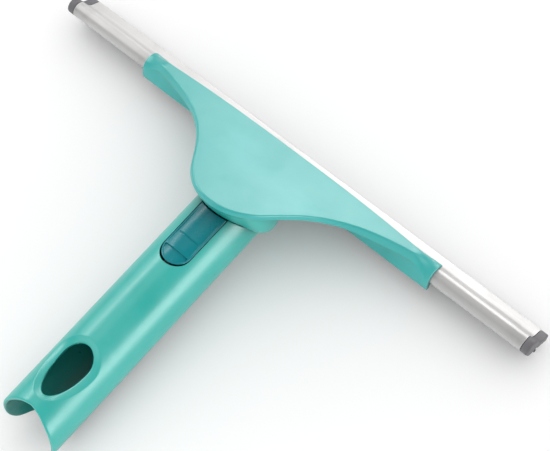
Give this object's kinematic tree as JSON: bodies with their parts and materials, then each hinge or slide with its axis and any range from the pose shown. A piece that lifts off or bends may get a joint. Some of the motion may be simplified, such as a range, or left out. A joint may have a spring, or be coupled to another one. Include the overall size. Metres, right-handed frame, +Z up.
{
  "type": "window cleaning squeegee",
  "caption": "Hand squeegee with a rubber edge in an aluminium rail, on a waisted plastic head with a round hollow handle that pulls off its spigot when the button is pressed.",
  "frame": {"origin": "centre of the bounding box, on the table that the tool lies on", "axes": "+X along the rail, +Y from the handle to the blade, +Z up from the table"},
  "size_m": [0.2886, 0.1846, 0.0522],
  "materials": {
    "mint_plastic": "satin moulded",
    "turquoise_plastic": "satin moulded",
    "petrol_plastic": "satin moulded",
    "satin_aluminium": "satin anodised",
    "black_rubber": "matte",
    "grey_plastic": "matte moulded",
    "spring_steel": "bright"
  },
  "bodies": {
    "head": {"neck_spigot": "turquoise_plastic", "head_plate": "mint_plastic", "aluminium_rail": "satin_aluminium", "rubber_blade": "black_rubber", "end_cap_left": "grey_plastic", "end_cap_right": "grey_plastic", "neck_screw_left": "spring_steel", "neck_screw_right": "spring_steel", "button_pivot_pin": "spring_steel", "latch_spring": "spring_steel"},
    "button": {"release_button": "petrol_plastic"},
    "handle": {"handle_tube": "turquoise_plastic"}
  },
  "joints": [
    {"name": "button_press", "type": "hinge", "parent": "head", "child": "button", "pos_m": [0, 0.02679, 0.03358], "axis": [1, 0, 0], "range_deg": [0, 6], "stiffness_Nm_per_rad": 0.3, "deforming": ["latch_spring"]},
    {"name": "handle_release", "type": "slide", "parent": "head", "child": "handle", "axis": [0, -0.9972, -0.0743], "range_m": [0, 0.062]}
  ]
}
